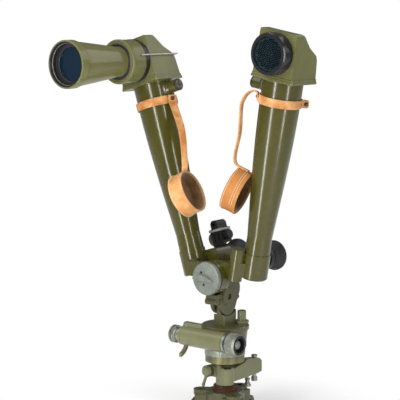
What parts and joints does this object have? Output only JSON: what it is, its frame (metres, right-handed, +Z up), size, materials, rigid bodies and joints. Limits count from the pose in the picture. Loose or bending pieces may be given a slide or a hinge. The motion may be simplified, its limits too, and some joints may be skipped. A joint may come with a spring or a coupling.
{
  "type": "scissors binoculars",
  "caption": "Periscopic scissors binoculars: two hinged prism tubes with front objectives and low eyepieces on a worm-driven azimuth and tilt mount over a tripod head.",
  "frame": {"origin": "centre of the tripod head's flat under face, on the azimuth axis", "axes": "+Z up along the azimuth axis, -Y towards the view (objectives), +Y towards the user (eyepieces), +X to the right of a person looking through it"},
  "size_m": [0.3581, 0.269, 0.6158],
  "materials": {
    "olive_paint": "glossy olive enamel on metal, worn at edges",
    "mount_paint": "greyer green enamel, semi gloss",
    "black_paint": "satin black enamel",
    "plated_steel": "dull plated steel",
    "turned_brass": "greenish aged brass",
    "red_paint": "worn dark red paint",
    "black_rubber": "matte ribbed rubber",
    "tan_leather": "natural tan leather with stitching",
    "coated_glass": "coated optical glass",
    "level_vial": "tinted level vial"
  },
  "bodies": {
    "stand": {"tripod_head": "mount_paint", "spigot_collar": "red_paint", "clamp_post": "mount_paint", "bracket_arm": "mount_paint", "bracket_screws": "plated_steel", "azimuth_base": "turned_brass", "scale_ring": "plated_steel"},
    "post_clamp": {"clamp_lever": "mount_paint"},
    "turntable": {"azimuth_plate": "mount_paint", "worm_housing": "mount_paint", "cradle_block": "mount_paint", "level_case": "mount_paint", "level_glass": "level_vial"},
    "worm": {"worm_shaft": "plated_steel", "traverse_knob": "plated_steel", "traverse_drum": "plated_steel"},
    "release": {"release_lever": "mount_paint"},
    "tilt_head": {"tilt_yoke": "mount_paint", "pivot_pin": "olive_paint", "hinge_bolt": "plated_steel"},
    "arm_clamp": {"clamp_disc": "plated_steel"},
    "left_arm": {"left_housing": "olive_paint", "left_tube": "olive_paint", "left_head": "olive_paint", "left_prisms": "coated_glass", "left_objective_cell": "black_paint", "left_objective_lens": "coated_glass", "left_prism_box": "olive_paint", "left_eyepiece": "olive_paint", "left_eye_lens": "coated_glass", "left_adjuster": "olive_paint", "left_band": "tan_leather", "left_cap_strap": "tan_leather", "left_lens_cap": "tan_leather", "front_collar": "olive_paint", "front_tube": "olive_paint", "front_lens": "coated_glass", "lamp_body": "black_paint", "lamp_barrel": "black_paint", "left_eyecup": "black_rubber"},
    "right_arm": {"right_housing": "olive_paint", "right_tube": "olive_paint", "right_head": "olive_paint", "right_prisms": "coated_glass", "right_objective_cell": "black_paint", "right_objective_lens": "coated_glass", "right_prism_box": "olive_paint", "right_eyepiece": "olive_paint", "right_eye_lens": "coated_glass", "right_adjuster": "olive_paint", "right_band": "tan_leather", "right_cap_strap": "tan_leather", "right_lens_cap": "tan_leather", "net_filter": "black_paint", "right_eyecup": "black_rubber"},
    "left_focus": {"left_focus_ring": "black_paint"},
    "right_focus": {"right_focus_ring": "black_paint"},
    "bail": {"wire_bail": "plated_steel"},
    "dimmer": {"lamp_dimmer": "mount_paint"},
    "lamp_key": {"lamp_switch": "black_paint"}
  },
  "joints": [
    {"name": "post_clamp_turn", "type": "hinge", "parent": "stand", "child": "post_clamp", "pos_m": [-0.023, 0, 0.074], "axis": [0, 1, 0], "range_deg": [-15, 60]},
    {"name": "azimuth_turn", "type": "hinge", "parent": "stand", "child": "turntable", "pos_m": [0, 0, 0.12], "axis": [0, 0, 1], "continuous": true},
    {"name": "worm_turn", "type": "hinge", "parent": "turntable", "child": "worm", "pos_m": [0, -0.042, 0.133], "axis": [1, 0, 0], "continuous": true},
    {"name": "release_swing", "type": "hinge", "parent": "turntable", "child": "release", "pos_m": [-0.048, -0.042, 0.133], "axis": [1, 0, 0], "range_deg": [-20, 20]},
    {"name": "tilt", "type": "hinge", "parent": "turntable", "child": "tilt_head", "pos_m": [0, -0.0045, 0.197], "axis": [1, 0, 0], "range_deg": [-15, 15]},
    {"name": "arm_clamp_turn", "type": "hinge", "parent": "tilt_head", "child": "arm_clamp", "pos_m": [0, -0.045, 0.23], "axis": [0, 1, 0], "range_deg": [-120, 120]},
    {"name": "left_arm_open", "type": "hinge", "parent": "tilt_head", "child": "left_arm", "pos_m": [0, 0, 0.23], "axis": [0, -1, 0], "range_deg": [-7, 60]},
    {"name": "right_arm_open", "type": "hinge", "parent": "tilt_head", "child": "right_arm", "pos_m": [0, 0, 0.23], "axis": [0, 1, 0], "range_deg": [-3, 60]},
    {"name": "left_focus_turn", "type": "hinge", "parent": "left_arm", "child": "left_focus", "pos_m": [-0.03733, 0.055, 0.24864], "axis": [0, 1, 0], "range_deg": [-140, 140]},
    {"name": "right_focus_turn", "type": "hinge", "parent": "right_arm", "child": "right_focus", "pos_m": [0.03458, 0.055, 0.25335], "axis": [0, 1, 0], "range_deg": [-140, 140]},
    {"name": "bail_swing", "type": "hinge", "parent": "left_arm", "child": "bail", "pos_m": [-0.16131, -0.05, 0.55871], "axis": [0.9537, 0, 0.3007], "range_deg": [0, 100]},
    {"name": "dimmer_turn", "type": "hinge", "parent": "left_arm", "child": "dimmer", "pos_m": [-0.06638, 0.056, 0.27093], "axis": [-0.9537, 0, -0.3007], "range_deg": [0, 270]},
    {"name": "lamp_key_turn", "type": "hinge", "parent": "left_arm", "child": "lamp_key", "pos_m": [-0.03772, 0.056, 0.28312], "axis": [0.9537, 0, 0.3007], "range_deg": [0, 90]}
  ],
  "couplings": [
    {"joint": "worm_turn", "follows": "azimuth_turn", "ratio": 72}
  ]
}
